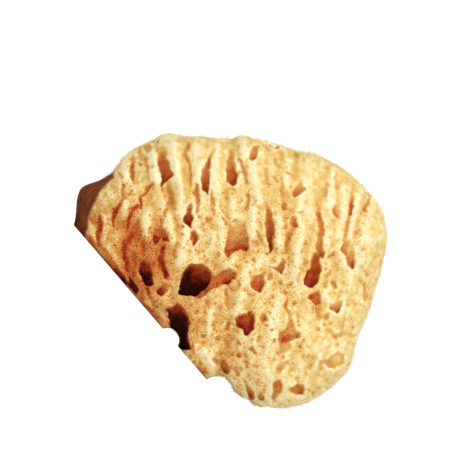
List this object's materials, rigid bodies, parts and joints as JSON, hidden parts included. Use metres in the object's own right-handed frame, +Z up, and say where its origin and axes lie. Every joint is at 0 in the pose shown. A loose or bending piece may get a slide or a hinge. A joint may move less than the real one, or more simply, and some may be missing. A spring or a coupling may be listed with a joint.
{
  "type": "sea sponge",
  "caption": "Natural honeycomb bath sponge, one porous lump with grooves and deep pits all round, cut off flat where it held to the rock; it rests on the cut.",
  "frame": {"origin": "on the ground under the middle of the sponge's box, in the plane of the cut that it rests on", "axes": "+X along the cut towards the overhanging lobe, +Y from the face with the great hole towards the back, +Z up, out of the rock"},
  "size_m": [0.1551, 0.0984, 0.1227],
  "materials": {
    "sponge_skeleton": "dry, matt, crumbly fibre of a natural sponge: cream to golden on the ridges, orange-brown in the pits, near black in the deepest holes"
  },
  "bodies": {
    "root": {"sponge": "sponge_skeleton"}
  },
  "joints": []
}
